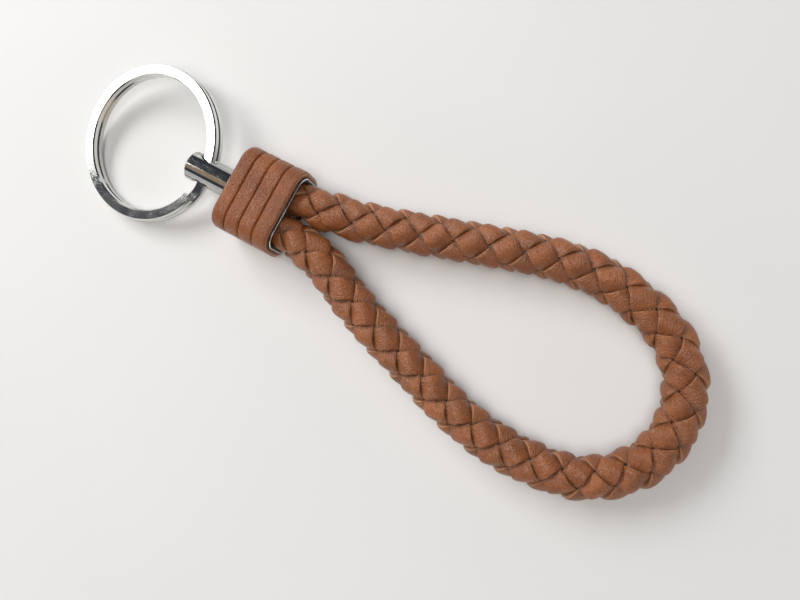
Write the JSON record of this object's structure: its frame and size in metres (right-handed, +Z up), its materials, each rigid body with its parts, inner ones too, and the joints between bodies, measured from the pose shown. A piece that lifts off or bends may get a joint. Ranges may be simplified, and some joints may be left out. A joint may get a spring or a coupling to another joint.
{
  "type": "wristlet keychain",
  "caption": "Braided round leather cord loop held in an oval grooved leather-wrapped ferrule, with a turning post whose cross eye carries a flat split key ring.",
  "frame": {"origin": "on the resting surface, under the middle of the footprint of the hardware (split ring, post and collar) without the cord", "axes": "+X from the split ring towards the cord loop, along the post's axis; +Z up from the surface the object lies on; +Y to the side of the upper leg"},
  "size_m": [0.1297, 0.0415, 0.0108],
  "materials": {
    "nickel_ring": "polished nickel plate",
    "dark_chrome_post": "polished dark chrome plate",
    "steel_washer": "plain steel",
    "steel_ferrule": "bright nickel plate",
    "wrap_leather": "cognac brown leather, satin, pressed grooves",
    "braid_leather": "cognac brown leather strips, satin",
    "core_cotton": "twisted cotton filler, dark",
    "whipping_thread": "waxed black thread",
    "adhesive": "set hot-melt adhesive"
  },
  "bodies": {
    "collar": {"ferrule": "steel_ferrule", "leather_wrap": "wrap_leather", "end_whipping_upper": "whipping_thread", "end_whipping_lower": "whipping_thread", "cord_end_upper": "braid_leather", "cord_end_lower": "braid_leather", "adhesive_fill": "adhesive", "braided_sleeve": "braid_leather", "cord_core": "core_cotton"},
    "post": {"swivel_post": "dark_chrome_post", "retaining_washer": "steel_washer"},
    "ring": {"split_ring": "nickel_ring"}
  },
  "joints": [
    {"name": "post_swivel", "type": "hinge", "parent": "collar", "child": "post", "pos_m": [0.01, 0, 0.0054], "axis": [1, 0, 0], "continuous": true},
    {"name": "ring_swing", "type": "hinge", "parent": "post", "child": "ring", "pos_m": [0.00485, 0, 0.0054], "axis": [0, 0.9848, 0.1736], "range_deg": [-145, 154]}
  ]
}
